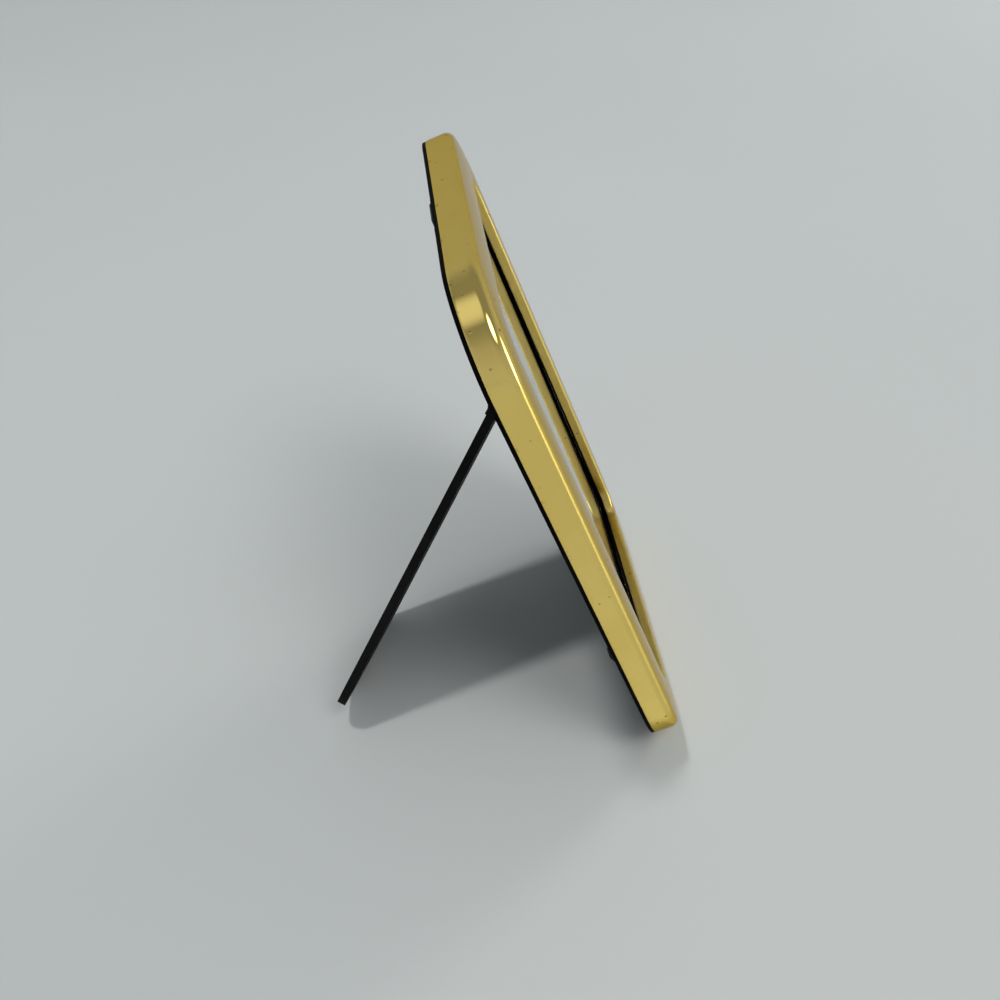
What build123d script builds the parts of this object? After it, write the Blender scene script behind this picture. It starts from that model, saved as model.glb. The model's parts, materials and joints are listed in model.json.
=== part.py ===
from build123d import *

import os
from math import asin, atan2, cos, degrees, hypot, radians, sin, tan

# Photo frame that leans back on one folding leg, in millimetres.
# +Z is up, the picture faces -Y, and +X is to the right as seen from the picture side.
# The origin is the middle of the narrow flat on which the rear lower edge stands.

# Picture, and how far the rim reaches beyond its edge and over it.
print_width = 101.6
print_height = 152.4
frame_border = 9.55
print_overlap = 5.65
opening_radius = 8.8

# Glass and what is stacked behind it. The glass has some play, and its foot sits further back.
glass_thickness = 1.2
glass_play = 0.8
print_thickness = 0.25
card_thickness = 1.0
panel_thickness = 2.55
pocket_clearance = 0.25
glass_clearance = 0.2
panel_clearance = 0.3

# Rim: a stamped brass shell whose face rises from its shoulder to a crown round the opening.
rim_sheet = 0.6
lip_rise = 3.2
crown_rise = 0.6
face_bulge = 0.3
shoulder_round = 2.7
crown_round = 1.3

# Back frame: black carrier inside the rim, with a flange behind the rim's rear edge.
flange_thickness = 1.0
flange_inset = 0.2
tray_clearance = 0.15
tray_wall = 1.4
tray_floor = 0.4
ledge_thickness = 0.3
ledge_reach = 0.8
standing_flat_depth = 0.15

# Tongues by which the back panel hooks into the back frame's top rail.
tongue_width = 12.0
tongue_length = 1.8
tongue_thickness = 1.0
tongue_spacing = 60.0
tongue_clearance = 0.3

# Leg: a wide board on a slanting hinge, so that it folds towards a corner of the back.
# Its foot edge is cut level with the table, and lies along the frame's bottom when it is folded.
hinge_slant = 30.0
hinge_side_gap = 39.35
hinge_rise = 98.9
hinge_height = 3.4
leg_opening = 49.2
folded_foot_gap = 2.05
leg_width = 50.0
leg_thickness = 2.7
foot_edge = 31.0
foot_round = 6.0
foot_corner_round = 2.5

# Hinge between the leg and the back panel.
pin_radius = 1.0
pin_fit = 0.02
pin_head_radius = 1.5
pin_head_thickness = 0.5
knuckle_clearance = 0.05
knuckle_sheet = 0.65
leaf_width = 44.0
leaf_thickness = 0.6
leaf_length = 9.3
leaf_rivet_spacing = 28.0
bracket_sheet = 0.8
bracket_margin = 2.45
bracket_tail = 11.5
bracket_nose = 3.2
ear_radius = 2.5
ear_clearance = 0.25
leg_clearance = 1.2
stop_clearance = 0.03

# Rivets: shank, head, and the peened end inside the back frame.
rivet_radius = 1.1
rivet_head_radius = 1.9
rivet_head_height = 0.45
rivet_fit = 0.02
rivet_edge = 3.0
clench_radius = 1.6
clench_height = 0.5

# Turn buttons that hold the back panel, one on each long side.
button_thickness = 0.6
button_width = 5.0
button_reach = 7.4
button_height = 51.5
button_clearance = 0.05
button_lift = 0.05

# Hanger with saw teeth at the middle of the top rail.
hanger_length = 22.4
hanger_depth = 5.0
hanger_sheet = 0.4
hanger_rise = 0.6
hanger_bridge = 9.6
hanger_ramp = 1.2
tooth_count = 5
tooth_depth = 1.2

# Outline of the frame and of the pocket that holds the picture.
frame_width = print_width + 2 * frame_border
frame_height = print_height + 2 * frame_border
half_width = frame_width / 2
half_height = frame_height / 2
lip_width = frame_border + print_overlap
corner_radius = opening_radius + lip_width
pocket_width = print_width + 2 * pocket_clearance
pocket_height = print_height + 2 * pocket_clearance
panel_width = pocket_width - 2 * panel_clearance
panel_height = pocket_height - 2 * panel_clearance
glass_width = pocket_width - 2 * glass_clearance
glass_height = pocket_height - 2 * glass_clearance
tray_inset = rim_sheet + tray_clearance
rail_middle = (flange_inset + frame_border - pocket_clearance) / 2
rail_sheet = tray_floor + flange_thickness

# Depths along the frame's front normal, from the rear edge of the rim.
rear_face = -flange_thickness
panel_front = rear_face + panel_thickness
print_back = panel_front + card_thickness
glass_back = print_back + print_thickness
ledge_back = glass_back + glass_thickness + glass_play
lip_bottom = ledge_back + ledge_thickness
crown_height = lip_bottom + lip_rise
shoulder_height = crown_height - crown_rise
tongue_back = panel_front - tongue_thickness

# The leg's own directions, in the frame's coordinates: right, up the slope, front.
slant = radians(hinge_slant)
opening = radians(leg_opening)
diagonal = Vector(-sin(slant), -cos(slant), 0)
rearward = Vector(0, 0, -1)
leg_along = diagonal * cos(opening) + rearward * sin(opening)
leg_outward = rearward * cos(opening) - diagonal * sin(opening)
leg_across = leg_outward.cross(leg_along)

# The knuckle's outer radius sets the leaf's height on it, and the leg lies under the leaf.
bore_radius = pin_radius + knuckle_clearance
knuckle_radius = bore_radius + knuckle_sheet
leaf_bottom = knuckle_radius - leaf_thickness
leg_bottom = leaf_bottom - leg_thickness

# The leg's shorter side ends near the frame's bottom when it is folded, and its foot edge starts there.
pivot = Vector(half_width - hinge_side_gap, hinge_rise, rear_face - hinge_height)
half_leg = leg_width / 2
leg_start = ear_radius + leg_clearance
foot_start = (hinge_rise - half_leg * sin(slant) - folded_foot_gap) / cos(slant)

# The lean follows from the leg: its foot edge and the flange's lower rear edge stand on one level.
foot = pivot + leg_along * foot_start - leg_across * half_leg + leg_outward * leg_bottom
foot_up = foot.Y - flange_inset
foot_depth = rear_face - foot.Z
lean = atan2(foot_up, foot_depth) - asin(standing_flat_depth / hypot(foot_up, foot_depth))

# The foot edge's slant across the board makes it level at that lean.
down = Vector(0, -cos(lean), -sin(lean))
foot_slant = atan2(-down.dot(leg_across), down.dot(leg_along))
leg_length = foot_start + foot_edge * sin(foot_slant)
foot_end = foot_edge * cos(foot_slant) - half_leg

right = Vector(1, 0, 0)
up_slope = Vector(0, sin(lean), cos(lean))
front = Vector(0, -cos(lean), sin(lean))
edge_setback = standing_flat_depth * (1 / tan(lean) - tan(lean)) / 2
standing_edge = Vector(0, edge_setback, -standing_flat_depth)
frame_origin = standing_edge - up_slope * flange_inset - front * rear_face
frame_plane = Plane(origin=frame_origin, x_dir=right, z_dir=front)


def to_part(direction):
    """A direction given in the frame's coordinates, in the part's own axes."""
    return right * direction.X + up_slope * direction.Y + front * direction.Z


def level(depth):
    """The plane parallel to the picture at this depth, with its origin on the frame's middle."""
    middle = frame_plane.from_local_coords(Vector(0, half_height, depth))
    return Plane(origin=middle, x_dir=right, z_dir=front)


# Planes of the hinge: on the panel's rear, across the pin, and the same two turned with the leg.
pivot_point = frame_plane.from_local_coords(pivot)
panel_rear_point = pivot_point + front * hinge_height
hinge_axis = to_part(leg_across)
hinge_plane = Plane(origin=panel_rear_point, x_dir=to_part(diagonal), z_dir=-front)
ear_plane = Plane(origin=panel_rear_point, x_dir=to_part(diagonal), z_dir=-hinge_axis)
leg_plane = Plane(origin=pivot_point, x_dir=to_part(leg_along), z_dir=to_part(leg_outward))
knuckle_plane = Plane(origin=pivot_point, x_dir=to_part(leg_along), z_dir=-hinge_axis)

os.makedirs("parts", exist_ok=True)


def write(piece, name):
    """Name a finished piece and write it to its own file."""
    piece.part.label = name
    export_step(piece.part, f"parts/{name}.step")


# Rim: the sheet's section, swept round the rounded rectangle of the frame's outline.
with BuildLine(level(0)) as rim_path:
    FilletPolyline(
        (-half_width, -half_height),
        (half_width, -half_height),
        (half_width, half_height),
        (-half_width, half_height),
        radius=corner_radius,
        close=True,
    )
rim_wire = rim_path.wire()
rim_heading = rim_wire % 0
rim_section = Plane(origin=rim_wire @ 0, x_dir=front.cross(rim_heading), z_dir=rim_heading)
face_middle = (lip_width / 2, (shoulder_height + crown_height) / 2 + face_bulge)

with BuildPart() as rim:
    with BuildSketch(rim_section):
        with BuildLine() as sheet_line:
            Line((0, 0), (0, shoulder_height))
            ThreePointArc((0, shoulder_height), face_middle, (lip_width, crown_height))
            Line((lip_width, crown_height), (lip_width, lip_bottom))
            fillet(sheet_line.vertices().sort_by_distance((0, shoulder_height))[0], shoulder_round)
            fillet(sheet_line.vertices().sort_by_distance((lip_width, crown_height))[0], crown_round)
            offset(amount=rim_sheet, side=Side.RIGHT)
        make_face()
    sweep(path=rim_wire)
write(rim, "rim")

# Back frame: flange, channel-shaped tray and the ledge that keeps the glass in.
rivet_hole = rivet_radius + rivet_fit
button_x = half_width - rail_middle
button_y = button_height - half_height
bridge_x = hanger_bridge / 2
ramp_x = bridge_x + hanger_ramp
end_x = hanger_length / 2
hanger_rivet_x = (ramp_x + end_x) / 2
hanger_y = half_height - rail_middle
tray_core_inset = tray_inset + tray_wall
ledge_inset = lip_width + ledge_reach

with BuildPart() as back_frame:
    with BuildSketch(level(rear_face)):
        RectangleRounded(
            frame_width - 2 * flange_inset,
            frame_height - 2 * flange_inset,
            corner_radius - flange_inset,
        )
        Rectangle(pocket_width, pocket_height, mode=Mode.SUBTRACT)
    extrude(amount=flange_thickness)
    with BuildSketch(level(0)):
        RectangleRounded(
            frame_width - 2 * tray_inset,
            frame_height - 2 * tray_inset,
            corner_radius - tray_inset,
        )
        Rectangle(pocket_width, pocket_height, mode=Mode.SUBTRACT)
    extrude(amount=ledge_back)
    with BuildSketch(level(tray_floor)):
        RectangleRounded(
            frame_width - 2 * tray_core_inset,
            frame_height - 2 * tray_core_inset,
            corner_radius - tray_core_inset,
        )
        RectangleRounded(
            pocket_width + 2 * tray_wall,
            pocket_height + 2 * tray_wall,
            tray_wall,
            mode=Mode.SUBTRACT,
        )
    extrude(amount=ledge_back - tray_floor, mode=Mode.SUBTRACT)
    with BuildSketch(level(ledge_back)):
        RectangleRounded(pocket_width + 2 * tray_wall, pocket_height + 2 * tray_wall, tray_wall)
        RectangleRounded(
            frame_width - 2 * ledge_inset,
            frame_height - 2 * ledge_inset,
            corner_radius - ledge_inset,
            mode=Mode.SUBTRACT,
        )
    extrude(amount=ledge_thickness)
    # Slots for the panel's tongues, through the top rail's inner wall.
    with BuildSketch(level(tongue_back - tongue_clearance)):
        with GridLocations(tongue_spacing, 0, 2, 1):
            with Locations((0, pocket_height / 2)):
                Rectangle(tongue_width + 2 * tongue_clearance, 2 * (tongue_length + tongue_clearance))
    extrude(amount=tongue_thickness + 2 * tongue_clearance, mode=Mode.SUBTRACT)
    # Rivet holes for the turn buttons and the hanger.
    with BuildSketch(level(rear_face)):
        with Locations((-button_x, button_y), (button_x, button_y)):
            Circle(rivet_hole)
        with Locations((-hanger_rivet_x, hanger_y), (hanger_rivet_x, hanger_y)):
            Circle(rivet_hole)
    extrude(amount=rail_sheet, mode=Mode.SUBTRACT)
    # The narrow level flat on which the lower rear edge stands.
    with BuildSketch(Plane.XY.offset(-frame_height)):
        Rectangle(2 * frame_width, 2 * frame_height)
    extrude(amount=frame_height, mode=Mode.SUBTRACT)
write(back_frame, "back_frame")

# Glass: its foot stands back on the print and its top leans forward against the ledge.
glass_tilt = asin(glass_play / glass_height)
glass_up = up_slope * cos(glass_tilt) + front * sin(glass_tilt)
glass_foot = frame_plane.from_local_coords(Vector(0, half_height - glass_height / 2, glass_back))
glass_plane = Plane(origin=glass_foot, x_dir=right, z_dir=right.cross(glass_up))

with BuildPart() as glass:
    with BuildSketch(glass_plane):
        with Locations((0, glass_height / 2)):
            Rectangle(glass_width, glass_height)
    extrude(amount=glass_thickness)
write(glass, "glass")

# Blank print and filler card, stacked behind the glass.
with BuildPart() as photo_print:
    with BuildSketch(level(print_back)):
        Rectangle(print_width, print_height)
    extrude(amount=print_thickness)
write(photo_print, "photo_print")

with BuildPart() as filler_card:
    with BuildSketch(level(panel_front)):
        Rectangle(glass_width, glass_height)
    extrude(amount=card_thickness)
write(filler_card, "filler_card")

# Back panel with its tongues and the holes for the bracket's rivets.
ear_inner = leaf_width / 2 + ear_clearance
pin_half_length = ear_inner + bracket_sheet
bracket_width = 2 * (pin_half_length + bracket_margin)
bracket_rivet_y = bracket_width / 2 - rivet_edge
bracket_rivet_points = [
    (rivet_edge - bracket_tail, -bracket_rivet_y),
    (rivet_edge - bracket_tail, bracket_rivet_y),
]
with BuildPart() as back_panel:
    with BuildSketch(level(rear_face)):
        Rectangle(panel_width, panel_height)
    extrude(amount=panel_thickness)
    with BuildSketch(level(tongue_back)):
        with GridLocations(tongue_spacing, 0, 2, 1):
            with Locations((0, panel_height / 2)):
                Rectangle(tongue_width, 2 * tongue_length)
    extrude(amount=tongue_thickness)
    with BuildSketch(hinge_plane):
        with Locations(*bracket_rivet_points):
            Circle(rivet_hole)
    extrude(amount=-panel_thickness, mode=Mode.SUBTRACT)
write(back_panel, "back_panel")

# Hinge bracket: base plate on the panel and two ears that hold the pin.
with BuildPart() as hinge_bracket:
    with BuildSketch(hinge_plane):
        with Locations(((bracket_nose - bracket_tail) / 2, 0)):
            Rectangle(bracket_tail + bracket_nose, bracket_width)
        with Locations(*bracket_rivet_points):
            Circle(rivet_hole, mode=Mode.SUBTRACT)
    extrude(amount=bracket_sheet)
    for side in (-1, 1):
        with BuildSketch(ear_plane.offset(side * (ear_inner + bracket_sheet / 2))):
            with Locations((0, hinge_height / 2)):
                Rectangle(2 * ear_radius, hinge_height)
            with Locations((0, hinge_height)):
                Circle(ear_radius)
                Circle(pin_radius + pin_fit, mode=Mode.SUBTRACT)
        extrude(amount=bracket_sheet / 2, both=True)
write(hinge_bracket, "hinge_bracket")

# Hinge pin, headed outside both ears.
with BuildPart() as hinge_pin:
    with BuildSketch(knuckle_plane):
        Circle(pin_radius)
    extrude(amount=pin_half_length + pin_head_thickness, both=True)
    for side in (-1, 1):
        with BuildSketch(knuckle_plane.offset(side * (pin_half_length + pin_head_thickness / 2))):
            Circle(pin_head_radius)
        extrude(amount=pin_head_thickness / 2, both=True)
write(hinge_pin, "hinge_pin")

# Bracket rivets: head on the base plate, shank flush with the panel's front.
rear_axis = Axis(frame_origin, -front)
for number, point in enumerate(bracket_rivet_points, start=1):
    with BuildPart() as bracket_rivet:
        with BuildSketch(hinge_plane.offset(-panel_thickness)):
            with Locations(point):
                Circle(rivet_radius)
        extrude(amount=panel_thickness + bracket_sheet)
        with BuildSketch(hinge_plane.offset(bracket_sheet)):
            with Locations(point):
                Circle(rivet_head_radius)
        extrude(amount=rivet_head_height)
        fillet(bracket_rivet.faces().sort_by(rear_axis)[-1].edges(), rivet_head_height / 2)
    write(bracket_rivet, f"bracket_rivet_{number}")

# Leg: flat board, square where it meets the hinge, with its level foot edge and rounded corners.
leaf_rivet_x = (leg_start + leaf_length) / 2
leaf_rivet_points = [(leaf_rivet_x, -leaf_rivet_spacing / 2), (leaf_rivet_x, leaf_rivet_spacing / 2)]
with BuildPart() as leg_board:
    with BuildSketch(leg_plane.offset(leg_bottom)) as board_outline:
        Polygon(
            (leg_start, -half_leg),
            (foot_start, -half_leg),
            (leg_length, foot_end),
            (leg_length, half_leg),
            (leg_start, half_leg),
            align=None,
        )
        board_corners = board_outline.vertices()
        fillet(board_corners.sort_by_distance((leg_length, half_leg))[0], foot_round)
        board_corners = board_outline.vertices()
        foot_corners = [
            board_corners.sort_by_distance((foot_start, -half_leg))[0],
            board_corners.sort_by_distance((leg_length, foot_end))[0],
        ]
        fillet(foot_corners, foot_corner_round)
        with Locations(*leaf_rivet_points):
            Circle(rivet_hole, mode=Mode.SUBTRACT)
    extrude(amount=leg_thickness)
write(leg_board, "leg_board")

# Leaf on the leg's outer face: a rolled knuckle round the pin and a heel that stops the leg.
stop_drop = hinge_height - bracket_sheet - stop_clearance
heel_length = (stop_drop + leaf_bottom * cos(opening)) / sin(opening)
with BuildPart() as leg_leaf:
    with BuildSketch(leg_plane.offset(leaf_bottom)):
        with Locations(((leaf_length - heel_length) / 2, 0)):
            Rectangle(leaf_length + heel_length, leaf_width)
        with Locations(*leaf_rivet_points):
            Circle(rivet_hole, mode=Mode.SUBTRACT)
    extrude(amount=leaf_thickness)
    with BuildSketch(knuckle_plane):
        Circle(knuckle_radius)
        Circle(bore_radius, mode=Mode.SUBTRACT)
    extrude(amount=leaf_width / 2, both=True)
write(leg_leaf, "leg_leaf")

# Leaf rivets: head on the leaf, shank flush with the leg's inner face.
leg_out_axis = Axis(pivot_point, to_part(leg_outward))
for number, point in enumerate(leaf_rivet_points, start=1):
    with BuildPart() as leaf_rivet:
        with BuildSketch(leg_plane.offset(leg_bottom)):
            with Locations(point):
                Circle(rivet_radius)
        extrude(amount=leg_thickness + leaf_thickness)
        with BuildSketch(leg_plane.offset(knuckle_radius)):
            with Locations(point):
                Circle(rivet_head_radius)
        extrude(amount=rivet_head_height)
        fillet(leaf_rivet.faces().sort_by(leg_out_axis)[-1].edges(), rivet_head_height / 2)
    write(leaf_rivet, f"leaf_rivet_{number}")

# Turn buttons on the two long rails.
button_front = rear_face - button_lift
button_rear = button_front - button_thickness
for side, name in ((-1, "left"), (1, "right")):
    with BuildPart() as turn_button:
        with BuildSketch(level(button_rear)):
            with Locations((side * (button_x - button_reach / 2), button_y)):
                SlotCenterToCenter(button_reach, button_width)
            with Locations((side * button_x, button_y)):
                Circle(rivet_radius + button_clearance, mode=Mode.SUBTRACT)
        extrude(amount=button_thickness)
    write(turn_button, f"turn_button_{name}")

# Hanger: flat ends on the top rail, a raised bridge and saw teeth along the bridge's lower edge.
hanger_point = frame_plane.from_local_coords(Vector(0, frame_height - rail_middle, rear_face))
hanger_plane = Plane(origin=hanger_point, x_dir=right, z_dir=up_slope)
tooth_pitch = hanger_bridge / (tooth_count + 1)
with BuildPart() as hanger:
    with BuildSketch(hanger_plane):
        Polygon(
            (-end_x, 0),
            (-ramp_x, 0),
            (-bridge_x, hanger_rise),
            (bridge_x, hanger_rise),
            (ramp_x, 0),
            (end_x, 0),
            (end_x, hanger_sheet),
            (ramp_x, hanger_sheet),
            (bridge_x, hanger_rise + hanger_sheet),
            (-bridge_x, hanger_rise + hanger_sheet),
            (-ramp_x, hanger_sheet),
            (-end_x, hanger_sheet),
            align=None,
        )
    extrude(amount=hanger_depth / 2, both=True)
    with BuildSketch(level(rear_face)):
        with Locations((0, hanger_y - hanger_depth / 2)):
            with GridLocations(tooth_pitch, 0, tooth_count, 1):
                Polygon((-tooth_pitch / 2, 0), (tooth_pitch / 2, 0), (0, tooth_depth), align=None)
        with Locations((-hanger_rivet_x, hanger_y), (hanger_rivet_x, hanger_y)):
            Circle(rivet_hole)
    extrude(amount=-hanger_rise - hanger_sheet, mode=Mode.SUBTRACT)
write(hanger, "hanger")

# Rivets through the back frame's rails: the buttons' pivots and the hanger's fastenings.
button_seat = button_rear - button_lift
hanger_seat = rear_face - hanger_sheet
rail_rivets = (
    ("button_rivet_left", (-button_x, button_y), button_seat),
    ("button_rivet_right", (button_x, button_y), button_seat),
    ("hanger_rivet_left", (-hanger_rivet_x, hanger_y), hanger_seat),
    ("hanger_rivet_right", (hanger_rivet_x, hanger_y), hanger_seat),
)
for name, point, head_seat in rail_rivets:
    with BuildPart() as rail_rivet:
        with BuildSketch(level(head_seat)):
            with Locations(point):
                Circle(rivet_radius)
        extrude(amount=tray_floor - head_seat)
        with BuildSketch(level(head_seat)):
            with Locations(point):
                Circle(rivet_head_radius)
        extrude(amount=-rivet_head_height)
        fillet(rail_rivet.faces().sort_by(rear_axis)[-1].edges(), rivet_head_height / 2)
        with BuildSketch(level(tray_floor)):
            with Locations(point):
                Circle(clench_radius)
        extrude(amount=clench_height)
    write(rail_rivet, name)

print("lean back, degrees:", round(degrees(lean), 2))
print("leg length:", round(leg_length, 2))
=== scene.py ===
import json
from math import atan, atan2, cos, radians, sin

import bpy
from mathutils import Matrix, Vector, noise


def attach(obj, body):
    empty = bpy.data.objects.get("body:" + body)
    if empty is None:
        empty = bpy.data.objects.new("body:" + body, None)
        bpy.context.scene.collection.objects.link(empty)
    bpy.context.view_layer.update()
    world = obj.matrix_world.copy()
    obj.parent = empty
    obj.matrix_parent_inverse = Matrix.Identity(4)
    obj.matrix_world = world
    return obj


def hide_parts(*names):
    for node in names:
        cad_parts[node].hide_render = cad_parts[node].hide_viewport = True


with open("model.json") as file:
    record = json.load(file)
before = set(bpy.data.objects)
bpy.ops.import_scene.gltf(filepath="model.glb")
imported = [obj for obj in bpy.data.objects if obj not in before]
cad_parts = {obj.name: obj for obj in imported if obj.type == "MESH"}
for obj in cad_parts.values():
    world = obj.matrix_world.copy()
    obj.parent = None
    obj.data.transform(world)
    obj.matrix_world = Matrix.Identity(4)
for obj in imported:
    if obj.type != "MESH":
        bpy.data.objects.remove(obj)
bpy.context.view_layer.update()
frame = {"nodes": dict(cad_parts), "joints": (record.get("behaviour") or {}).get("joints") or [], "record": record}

# Photo frame with a polished brass rim, leaning back on a folding black leg. Sizes in metres.
MM = 0.001
scene = bpy.context.scene

# Directions of the leaning frame, read from the axis of the leg's hinge, which lies in its plane.
hinge = next(joint for joint in frame["joints"] if joint["name"] == "leg_fold")
lean = atan2(hinge["axis"][1], hinge["axis"][2])
across = Vector((1, 0, 0))
up_slope = Vector((0, sin(lean), cos(lean)))
front = Vector((0, -cos(lean), sin(lean)))

# The frame's own origin, the middle of the rim's lower rear edge, and half its outline, in millimetres.
rim_points = [vertex.co for vertex in frame["nodes"]["rim"].data.vertices]
rim_foot = min(point.dot(up_slope) for point in rim_points)
rim_head = max(point.dot(up_slope) for point in rim_points)
rim_rear = min(point.dot(front) for point in rim_points)
frame_origin = up_slope * rim_foot + front * rim_rear
half_width = max(point.x for point in rim_points) / MM
half_height = (rim_head - rim_foot) / 2 / MM


def frame_place(side, up, out):
    """The point this far across, up the slope and out from the rim's rear edge, in millimetres."""
    return frame_origin + (across * side + up_slope * up + front * out) * MM


class Graph:
    """Short calls for the nodes and links of one shader."""

    def __init__(self, owner, shader):
        owner.use_nodes = True
        self.tree = owner.node_tree
        self.shader = self.tree.nodes[shader]

    def add(self, kind, **settings):
        node = self.tree.nodes.new(kind)
        for key, value in settings.items():
            setattr(node, key, value)
        return node

    def feed(self, socket, value):
        """Link another node's output to a socket, or set the socket's own value."""
        if isinstance(value, bpy.types.NodeSocket):
            self.tree.links.new(value, socket)
        else:
            socket.default_value = value

    def set(self, **values):
        """Feed the shader's own sockets: numbers, colours or other nodes' outputs."""
        for key, value in values.items():
            self.feed(self.shader.inputs[key.replace("_", " ")], value)

    def math(self, operation, a, b):
        node = self.add("ShaderNodeMath", operation=operation)
        self.feed(node.inputs[0], a)
        self.feed(node.inputs[1], b)
        return node.outputs[0]

    def measure(self, operation, a, b):
        """A number from two vectors, such as their distance."""
        node = self.add("ShaderNodeVectorMath", operation=operation)
        self.feed(node.inputs[0], a)
        self.feed(node.inputs[1], b)
        return node.outputs["Value"]

    def spread(self, value, span, onto=(0.0, 1.0)):
        """Map a value from one range to another, smoothly and within its ends."""
        node = self.add("ShaderNodeMapRange", interpolation_type="SMOOTHSTEP")
        self.feed(node.inputs["Value"], value)
        node.inputs["From Min"].default_value = span[0]
        node.inputs["From Max"].default_value = span[1]
        node.inputs["To Min"].default_value = onto[0]
        node.inputs["To Max"].default_value = onto[1]
        return node.outputs["Result"]

    def mix(self, kind, share, a, b):
        """Value a where share is 0, and b where it is 1."""
        node = self.add("ShaderNodeMix", data_type=kind)
        self.feed(node.inputs["Factor"], share)
        self.feed(node.inputs["A"], a)
        self.feed(node.inputs["B"], b)
        return node.outputs["Result"]


class Finish(Graph):
    """The nodes of one material, laid out in the object's own coordinates."""

    def __init__(self, name):
        self.material = bpy.data.materials.new(name)
        super().__init__(self.material, "Principled BSDF")
        self.place = self.add("ShaderNodeTexCoord").outputs["Object"]

    def blend(self, share, a, b):
        """Colour a where share is 0, and b where it is 1."""
        return self.mix("RGBA", share, a, b)

    def noise(self, size, detail=3.0, roughness=0.5, stretch=None):
        """Noise whose blotches are about this size, in metres, drawn out along the axes by stretch."""
        node = self.add("ShaderNodeTexNoise")
        node.inputs["Scale"].default_value = 1 / size
        node.inputs["Detail"].default_value = detail
        node.inputs["Roughness"].default_value = roughness
        place = self.place
        if stretch:
            mapping = self.add("ShaderNodeMapping")
            mapping.inputs["Scale"].default_value = stretch
            self.feed(mapping.inputs["Vector"], place)
            place = mapping.outputs["Vector"]
        self.feed(node.inputs["Vector"], place)
        return node.outputs["Fac"]

    def depth(self):
        """Depth along the frame's front normal, from the rim's rear edge, in metres."""
        return self.math("SUBTRACT", self.measure("DOT_PRODUCT", self.place, front), rim_rear)

    def pits(self, spacing, radius, share):
        """Small round spots, one in some of the cells of this spacing: 1 inside a spot."""
        cell = self.add("ShaderNodeTexVoronoi")
        cell.inputs["Scale"].default_value = 1 / spacing
        self.feed(cell.inputs["Vector"], self.place)
        reach = radius / spacing
        inside = self.spread(cell.outputs["Distance"], span=(reach * 0.5, reach), onto=(1, 0))
        parts = self.add("ShaderNodeSeparateColor")
        self.feed(parts.inputs["Color"], cell.outputs["Color"])
        chosen = self.math("LESS_THAN", parts.outputs["Red"], share)
        return self.math("MULTIPLY", inside, chosen)

    def bump(self, height, distance, after=None):
        """Normals of a relief this deep, laid over an earlier relief where there is one."""
        node = self.add("ShaderNodeBump")
        node.inputs["Strength"].default_value = 1.0
        node.inputs["Distance"].default_value = distance
        self.feed(node.inputs["Height"], height)
        if after is not None:
            self.feed(node.inputs["Normal"], after)
        return node.outputs["Normal"]


# Name of the rim's mark for the wall inside its lip, which is less polished.
lip_mark = "inner_lip"


def brass():
    """Polished brass that stays yellow at a glancing angle, with stains, specks and fine scratches."""
    clean_tone = (0.94, 0.71, 0.208, 1)
    deep_tone = (0.90, 0.67, 0.182, 1)
    stain_tone = (0.42, 0.26, 0.07, 1)
    speck_tone = (0.16, 0.09, 0.03, 1)
    glancing_tone = (0.7, 0.6, 0.36, 1)
    stain_strength = 0.6
    speck_strength = 0.8
    spot_dullness = 0.2
    lip_dullness = 0.22
    ripple_depth = 0.008 * MM
    scratch_depth = 0.001 * MM
    pit_depth = 0.05 * MM

    g = Finish("polished_brass")
    rear_edge = g.spread(g.depth(), span=(0.1 * MM, 1.5 * MM), onto=(1, 0))
    ragged = g.spread(g.noise(4 * MM, detail=6, roughness=0.7), span=(0.56, 0.66))
    stain = g.math("MULTIPLY", rear_edge, ragged)
    speck_patches = g.spread(g.noise(21 * MM), span=(0.47, 0.6))
    specks = g.math("MULTIPLY", g.pits(spacing=3.2 * MM, radius=0.5 * MM, share=0.8), speck_patches)
    dot_patches = g.spread(g.noise(12 * MM), span=(0.5, 0.6))
    dots = g.math("MULTIPLY", g.pits(spacing=1.5 * MM, radius=0.16 * MM, share=0.35), dot_patches)
    spots = g.math("MAXIMUM", specks, dots)

    cloud = g.spread(g.noise(28 * MM, detail=4, roughness=0.6), span=(0.4, 0.65))
    clean = g.blend(cloud, clean_tone, deep_tone)
    stained = g.blend(g.math("MULTIPLY", stain, stain_strength), clean, stain_tone)
    speckled = g.blend(g.math("MULTIPLY", spots, speck_strength), stained, speck_tone)

    haze = g.spread(g.noise(11 * MM, detail=6, roughness=0.7), span=(0.42, 0.75), onto=(0.06, 0.14))
    spot_dull = g.math("MULTIPLY", g.math("MAXIMUM", specks, stain), spot_dullness)
    lip = g.add("ShaderNodeAttribute", attribute_name=lip_mark).outputs["Fac"]
    dull = g.math("ADD", spot_dull, g.math("MULTIPLY", lip, lip_dullness))

    ripple = g.bump(g.noise(6 * MM, detail=2), ripple_depth)
    scratch = g.bump(g.noise(0.9 * MM, stretch=(1, 1, 0.06)), scratch_depth, after=ripple)
    pitted = g.bump(g.math("SUBTRACT", 1.0, spots), pit_depth, after=scratch)
    g.set(Base_Color=speckled, Metallic=1.0, Roughness=g.math("ADD", haze, dull), Normal=pitted)
    g.set(Specular_Tint=glancing_tone)
    return g.material


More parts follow.
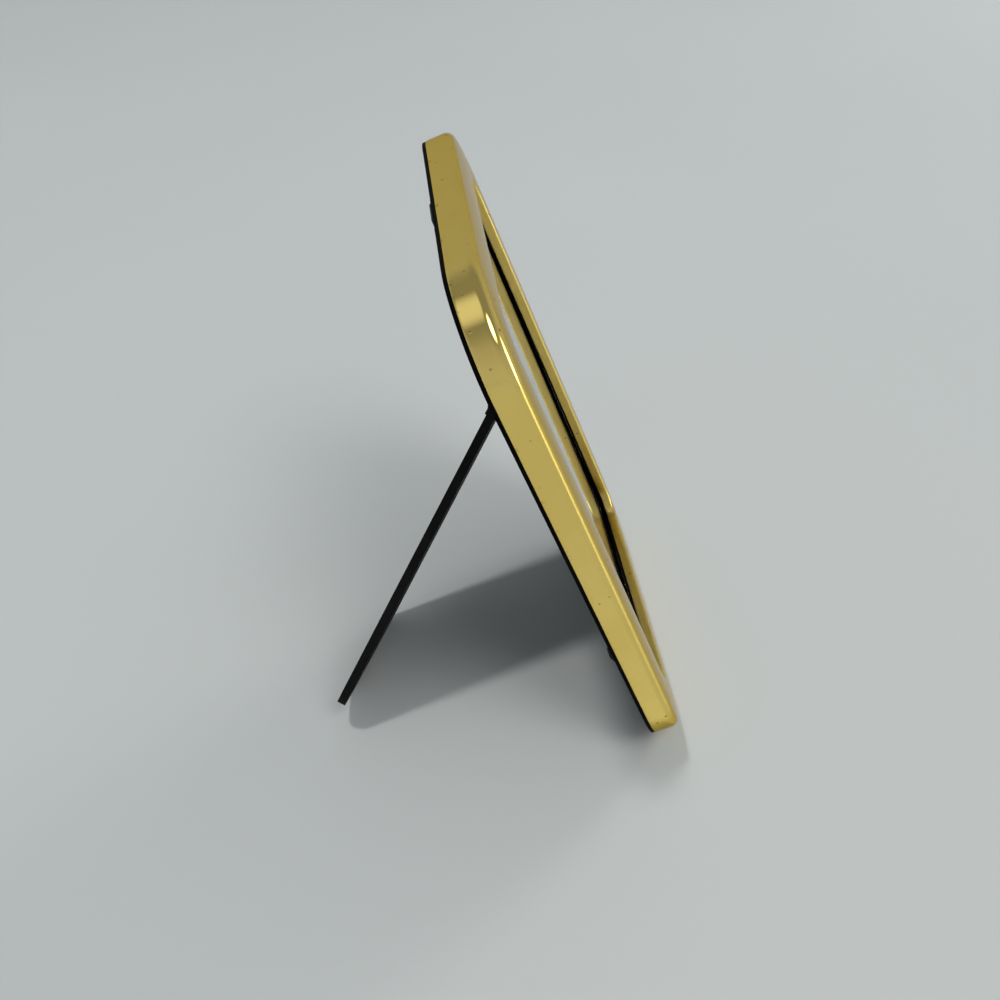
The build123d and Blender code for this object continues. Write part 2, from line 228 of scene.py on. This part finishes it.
def black_paint(name, colour, roughness, grain, gloss):
    """Matte black paint over metal, with a fine grain, rubbed patches and small scuffs."""
    deep_tone = (*colour, 1)
    dusty_tone = (*(2.0 * value + 0.001 for value in colour), 1)
    worn_tone = (0.05, 0.048, 0.045, 1)
    unevenness = 0.09
    grain_depth = 0.018 * MM

    g = Finish(name)
    speckle = g.noise(grain, detail=4, roughness=0.7)
    rub = g.spread(g.noise(9 * MM, detail=5, roughness=0.65), span=(0.5, 0.75))
    streak = g.spread(g.noise(1.4 * MM, stretch=(0.3, 1, 0.3)), span=(0.7, 0.76))
    tone = g.blend(g.math("MULTIPLY", streak, rub), g.blend(rub, deep_tone, dusty_tone), worn_tone)
    rough = g.spread(speckle, span=(0.3, 0.7), onto=(roughness - unevenness, roughness + unevenness))
    g.set(Base_Color=tone, Roughness=rough, Normal=g.bump(speckle, grain_depth))
    g.set(Specular_IOR_Level=gloss)
    return g.material


def black_board():
    """Hardboard faced with black paper that has a fine pressed weave."""
    deep_tone = (0.0035, 0.0034, 0.0031, 1)
    dusty_tone = (0.0085, 0.0082, 0.0076, 1)
    thread = 0.55 * MM
    weave_depth = 0.05 * MM
    gloss = 0.14

    g = Finish("black_board")
    fibre = g.noise(thread, stretch=(1, 0.25, 0.25))
    cross = g.noise(thread, stretch=(0.2, 1, 1))
    weave = g.math("MULTIPLY", fibre, cross)
    dust = g.spread(g.noise(16 * MM, detail=6, roughness=0.7), span=(0.45, 0.8))
    rough = g.spread(weave, span=(0.15, 0.4), onto=(0.6, 0.8))
    tone = g.blend(dust, deep_tone, dusty_tone)
    g.set(Base_Color=tone, Roughness=rough, Normal=g.bump(weave, weave_depth))
    g.set(Specular_IOR_Level=gloss)
    return g.material


def clear_glass():
    """Clear picture glass with a trace of haze."""
    clear_tone = (0.97, 0.99, 0.98, 1)
    green_tone = (0.94, 0.98, 0.96, 1)
    glass_ior = 1.52

    g = Finish("clear_glass")
    haze = g.spread(g.noise(30 * MM, detail=5, roughness=0.7), span=(0.45, 0.8), onto=(0.004, 0.03))
    tone = g.blend(g.noise(60 * MM), clear_tone, green_tone)
    g.set(Base_Color=tone, Roughness=haze, IOR=glass_ior, Transmission_Weight=1.0)
    return g.material


def print_paper():
    """A blank dark print on satin paper."""
    dark_tone = (0.021, 0.021, 0.018, 1)
    pale_tone = (0.030, 0.029, 0.024, 1)
    grain_depth = 0.006 * MM

    g = Finish("blank_print")
    grain = g.noise(0.35 * MM)
    tone = g.blend(g.noise(45 * MM, detail=4), dark_tone, pale_tone)
    rough = g.spread(grain, span=(0.3, 0.7), onto=(0.38, 0.5))
    g.set(Base_Color=tone, Roughness=rough, Normal=g.bump(grain, grain_depth))
    return g.material


def grey_card():
    """Grey board with loose fibres."""
    dark_tone = (0.36, 0.33, 0.28, 1)
    pale_tone = (0.50, 0.47, 0.41, 1)
    fibre_depth = 0.05 * MM

    g = Finish("grey_card")
    fibre = g.noise(1.2 * MM, detail=6, roughness=0.7, stretch=(1, 0.4, 0.4))
    tone = g.blend(g.spread(fibre, span=(0.35, 0.7)), dark_tone, pale_tone)
    rough = g.spread(fibre, span=(0.3, 0.7), onto=(0.82, 0.95))
    g.set(Base_Color=tone, Roughness=rough, Normal=g.bump(fibre, fibre_depth))
    return g.material


def dark_steel():
    """Blackened steel, rubbed bright in places."""
    dark_tone = (0.03, 0.0295, 0.028, 1)
    rubbed_tone = (0.12, 0.117, 0.11, 1)
    brush_depth = 0.008 * MM

    g = Finish("dark_steel")
    rub = g.spread(g.noise(1.6 * MM, detail=4, roughness=0.6), span=(0.5, 0.7))
    brush = g.noise(0.4 * MM, stretch=(1, 0.1, 0.1))
    tone = g.blend(rub, dark_tone, rubbed_tone)
    rough = g.spread(brush, span=(0.3, 0.7), onto=(0.32, 0.48))
    g.set(Base_Color=tone, Metallic=1.0, Roughness=rough, Normal=g.bump(brush, brush_depth))
    return g.material


# Each CAD node takes the finish of its slot in the record.
finishes = {
    "polished_brass": brass(),
    "black_frame": black_paint(
        "black_frame", colour=(0.0026, 0.0025, 0.0023), roughness=0.52, grain=0.5 * MM, gloss=0.02
    ),
    "clear_glass": clear_glass(),
    "blank_print": print_paper(),
    "grey_card": grey_card(),
    "black_board": black_board(),
    "black_metal": black_paint(
        "black_metal", colour=(0.003, 0.0029, 0.0027), roughness=0.48, grain=0.7 * MM, gloss=0.3
    ),
    "dark_steel": dark_steel(),
}
slot_of = {part["node"]: part["material_slot"] for part in frame["record"]["subparts"]}
for name, node in frame["nodes"].items():
    node.data.materials.clear()
    node.data.materials.append(finishes[slot_of[name]])

# Section of the rim's brass sheet, in millimetres: inset from the outline, height from its rear edge.
rim_sheet = 0.6
lip_width = 15.2
lip_bottom = 5.1
shoulder_height = 7.7
crown_height = 8.3
face_bulge = 0.3
shoulder_round = 2.7
crown_round = 0.65
corner_radius = 24.0
edge_round = rim_sheet / 2

# Steps along the section, and round the outline: spacing along its straight runs, steps in a corner.
wall_steps = 12
shoulder_steps = 16
face_steps = 18
crown_steps = 12
lip_steps = 4
edge_steps = 6
run_spacing = 2.0
corner_steps = 30

# The sheet's unevenness: slow waves, and small dents along the rear edge.
wave_depth = 0.03
wave_length = 26.0
dent_depth = 0.16
dent_length = 7.0
dent_reach = 2.2


def face_height(inset):
    """Height of the rim's face at this inset."""
    share = inset / lip_width
    rise = (crown_height - shoulder_height) * share
    return shoulder_height + rise + 4 * face_bulge * share * (1 - share)


def face_tilt(inset):
    """Angle at which the face climbs at this inset."""
    bulge_slope = 4 * face_bulge * (1 - 2 * inset / lip_width)
    return atan((crown_height - shoulder_height + bulge_slope) / lip_width)


def arc(middle, radius, start, end, steps):
    """Points of an arc between two angles, each with its outward normal."""
    points = []
    for step in range(steps + 1):
        angle = start + (end - start) * step / steps
        normal = (cos(angle), sin(angle))
        points.append(((middle[0] + radius * normal[0], middle[1] + radius * normal[1]), normal))
    return points


def upright(inset, start, end, normal, steps):
    """Points up or down one inset, between two heights and without them, with one normal."""
    return [((inset, start + (end - start) * step / steps), normal) for step in range(1, steps)]


def rim_section():
    """The closed line round the sheet: its outer side from rear to lip, and back along its inner side."""
    shoulder_tilt = face_tilt(shoulder_round)
    shoulder_touch = shoulder_round * (1 - sin(shoulder_tilt))
    shoulder_middle = face_height(shoulder_touch) - shoulder_round * cos(shoulder_tilt)
    crown_tilt = face_tilt(lip_width - crown_round)
    crown_touch = lip_width - crown_round * (1 + sin(crown_tilt))
    crown_middle = face_height(crown_touch) - crown_round * cos(crown_tilt)
    quarter = radians(90)
    outer = upright(0, edge_round, shoulder_middle, (-1, 0), wall_steps)
    shoulder_at = (shoulder_round, shoulder_middle)
    shoulder_end = quarter + shoulder_tilt
    outer += arc(shoulder_at, shoulder_round, 2 * quarter, shoulder_end, shoulder_steps)
    for step in range(1, face_steps):
        inset = shoulder_touch + (crown_touch - shoulder_touch) * step / face_steps
        tilt = face_tilt(inset)
        outer.append(((inset, face_height(inset)), (-sin(tilt), cos(tilt))))
    outer += arc((lip_width - crown_round, crown_middle), crown_round, quarter + crown_tilt, 0, crown_steps)
    outer += upright(lip_width, crown_middle, lip_bottom + edge_round, (1, 0), lip_steps)
    inner = [(spot[0] - normal[0] * rim_sheet, spot[1] - normal[1] * rim_sheet) for spot, normal in outer]
    lip_end = arc((lip_width - edge_round, lip_bottom + edge_round), edge_round, 0, -2 * quarter, edge_steps)
    rear_end = arc((edge_round, edge_round), edge_round, 0, -2 * quarter, edge_steps)
    line = [spot for spot, normal in outer + lip_end]
    line += reversed(inner)
    return line + [spot for spot, normal in rear_end]


def rim_outline():
    """Points round the frame's outline, from its middle, each with its outward direction."""
    middle_x = half_width - corner_radius
    middle_y = half_height - corner_radius
    points = []
    for number, (side, end) in enumerate(((1, 1), (-1, 1), (-1, -1), (1, -1))):
        for step in range(corner_steps + 1):
            angle = radians(90 * (number + step / corner_steps))
            heading = (cos(angle), sin(angle))
            x = side * middle_x + corner_radius * heading[0]
            y = end * middle_y + corner_radius * heading[1]
            points.append((x, y, heading))
        run = 2 * (middle_y if number % 2 else middle_x)
        run_steps = round(run / run_spacing)
        for step in range(1, run_steps):
            ahead = run * step / run_steps
            points.append((x - heading[1] * ahead, y + heading[0] * ahead, heading))
    return points


def pressed_in(x, y, height):
    """How far the sheet is pressed in from its true outline at this place, in millimetres."""
    wave = wave_depth * (0.5 + 0.5 * noise.noise(Vector((x, y, height)) / wave_length))
    near_edge = max(0.0, 1 - height / dent_reach) ** 2
    dent = max(0.0, noise.noise(Vector((x, y, 0)) / dent_length))
    return wave + dent_depth * near_edge * dent


def brass_rim():
    """The rim as one smooth sheet, swept round the outline."""
    line = rim_section()
    outline = rim_outline()
    vertices = []
    for x, y, heading in outline:
        for inset, height in line:
            inward = inset + pressed_in(x, y, height)
            side = x - heading[0] * inward
            up = half_height + y - heading[1] * inward
            vertices.append(frame_place(side, up, height))
    size = len(line)
    faces = []
    for ring in range(len(outline)):
        here = ring * size
        there = (ring + 1) % len(outline) * size
        for spot in range(size):
            after = (spot + 1) % size
            faces.append((here + spot, there + spot, there + after, here + after))
    mesh = bpy.data.meshes.new("brass_rim")
    mesh.from_pydata(vertices, [], faces)
    mesh.shade_smooth()
    mark = mesh.attributes.new(lip_mark, "FLOAT", "POINT")
    lip_share = [max(0.0, 1 - (lip_width - inset) / crown_round) for inset, height in line]
    mark.data.foreach_set("value", lip_share * len(outline))
    mesh.materials.append(finishes["polished_brass"])
    piece = bpy.data.objects.new("brass_rim", mesh)
    scene.collection.objects.link(piece)
    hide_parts("rim")
    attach(piece, "frame")


brass_rim()

# Camera: where the photograph was taken from, as read from the frame's outline in it.
camera_place = frame_place(-252.09, 281.03, 29.56)
camera_target = frame_place(0, 72.67, -20.51)
camera_roll = radians(0.2)
sensor_width = 36.0
focal_share = 1.0525
nearest_seen = 10 * MM
farthest_seen = 20.0
camera_data = bpy.data.cameras.new("camera")
camera_data.sensor_width = sensor_width
camera_data.lens = focal_share * sensor_width
camera_data.clip_start = nearest_seen
camera_data.clip_end = farthest_seen
camera = bpy.data.objects.new("camera", camera_data)
scene.collection.objects.link(camera)
camera_look = camera_target - camera_place
turn = camera_look.to_track_quat("-Z", "Y").to_matrix() @ Matrix.Rotation(camera_roll, 3, "Z")
camera.matrix_world = Matrix.Translation(camera_place) @ turn.to_4x4()
scene.camera = camera


def floor_material():
    """Pale paper, which metal and glass see with a sheen."""
    cool_tone = (0.60, 0.625, 0.612, 1)
    pale_tone = (0.63, 0.655, 0.642, 1)
    mirrored_roughness = 0.3
    seen_roughness = 0.9

    g = Finish("pale_floor")
    tone = g.blend(g.noise(240 * MM), cool_tone, pale_tone)
    seen = g.add("ShaderNodeLightPath").outputs["Is Camera Ray"]
    rough = g.spread(seen, span=(0, 1), onto=(mirrored_roughness, seen_roughness))
    g.set(Base_Color=tone, Roughness=rough)
    return g.material


floor_half = 1.3
floor_mesh = bpy.data.meshes.new("floor")
corners = [(-floor_half, -floor_half, 0), (floor_half, -floor_half, 0)]
corners += [(floor_half, floor_half, 0), (-floor_half, floor_half, 0)]
floor_mesh.from_pydata(corners, [], [(0, 1, 2, 3)])
floor = bpy.data.objects.new("floor", floor_mesh)
scene.collection.objects.link(floor)
floor_mesh.materials.append(floor_material())

# Lamps aim at the middle of the part. Each is brightest in its middle and dark at its edges: shares of
# its width from the middle, where the fading starts and ends, and its strength in the middle.
lamp_aim = Vector((0, 0.03, 0.06))
lamp_middle = (0.5, 0.5, 0)
fade_span = (0.2, 0.5)
middle_strength = 2.4


def soft_box(name, toward, distance, width, height, power, colour=(1, 1, 1)):
    """A lamp, fading to its edges, that stands in this direction from the part and faces it."""
    data = bpy.data.lights.new(name, "AREA")
    data.shape = "RECTANGLE"
    data.size = width
    data.size_y = height
    data.energy = power
    data.color = colour
    g = Graph(data, "Emission")
    spot = g.add("ShaderNodeNewGeometry").outputs["Parametric"]
    from_middle = g.measure("DISTANCE", spot, lamp_middle)
    g.set(Strength=g.spread(from_middle, span=fade_span, onto=(middle_strength, 0)))
    lamp = bpy.data.objects.new(name, data)
    scene.collection.objects.link(lamp)
    lamp.location = lamp_aim + Vector(toward).normalized() * distance
    lamp.rotation_euler = (lamp_aim - lamp.location).to_track_quat("-Z", "Y").to_euler()
    return lamp


# The top and front lamps only cast light and shadow, and the low window in front only shows in gloss.
top_lamp = soft_box(
    "top_lamp",
    toward=(0.045, 0.325, 1.0),
    distance=2.4,
    width=0.30,
    height=0.30,
    power=15.5,
    colour=(1.0, 1.0, 0.985),
)
top_lamp.visible_glossy = False
soft_box("side_lamp", toward=(-0.55, -0.30, 1.0), distance=2.4, width=1.5, height=1.5, power=15.5)
front_lamp = soft_box(
    "front_lamp", toward=(0.60, -0.78, 0.36), distance=2.0, width=0.8, height=0.8, power=9.5
)
front_lamp.visible_glossy = False
front_window = soft_box(
    "front_window", toward=(-0.10, -0.92, 0.22), distance=2.0, width=1.0, height=1.6, power=9.0
)
front_window.visible_diffuse = False

# The room lights everything evenly. Rays that see it directly or mirrored find it paler, most of all
# towards the level of the floor, and least overhead, but for one soft glow there. Spans are shares of
# the way from level to straight up.
room_colour = (0.92, 0.965, 1.02, 1)
room_light = 0.335
room_low = 0.51
room_high = 0.44
room_span = (-0.05, 0.45)
overhead_share = 0.6
overhead_span = (0.4, 0.8)
glow_toward = Vector((-0.14, 0.46, 0.88)).normalized()
glow_reach = radians(22)
glow_level = 0.5


def light_room():
    """Set the world to the room's light."""
    world = bpy.data.worlds.new("room")
    scene.world = world
    g = Graph(world, "Background")
    path = g.add("ShaderNodeLightPath")
    seen = g.math("MAXIMUM", path.outputs["Is Camera Ray"], path.outputs["Is Glossy Ray"])
    heading = g.add("ShaderNodeTexCoord").outputs["Generated"]
    parts = g.add("ShaderNodeSeparateXYZ")
    g.feed(parts.inputs["Vector"], heading)
    rise = parts.outputs["Z"]
    pale = g.spread(rise, span=room_span, onto=(room_low, room_high))
    overhead = g.spread(rise, span=overhead_span, onto=(1.0, overhead_share))
    along_glow = g.measure("DOT_PRODUCT", heading, glow_toward)
    glow = g.spread(along_glow, span=(cos(glow_reach), 1.0), onto=(0.0, glow_level))
    seen_level = g.math("ADD", g.math("MULTIPLY", pale, overhead), glow)
    g.set(Color=room_colour, Strength=g.mix("FLOAT", seen, room_light, seen_level))


light_room()
scene.view_settings.view_transform = "Standard"
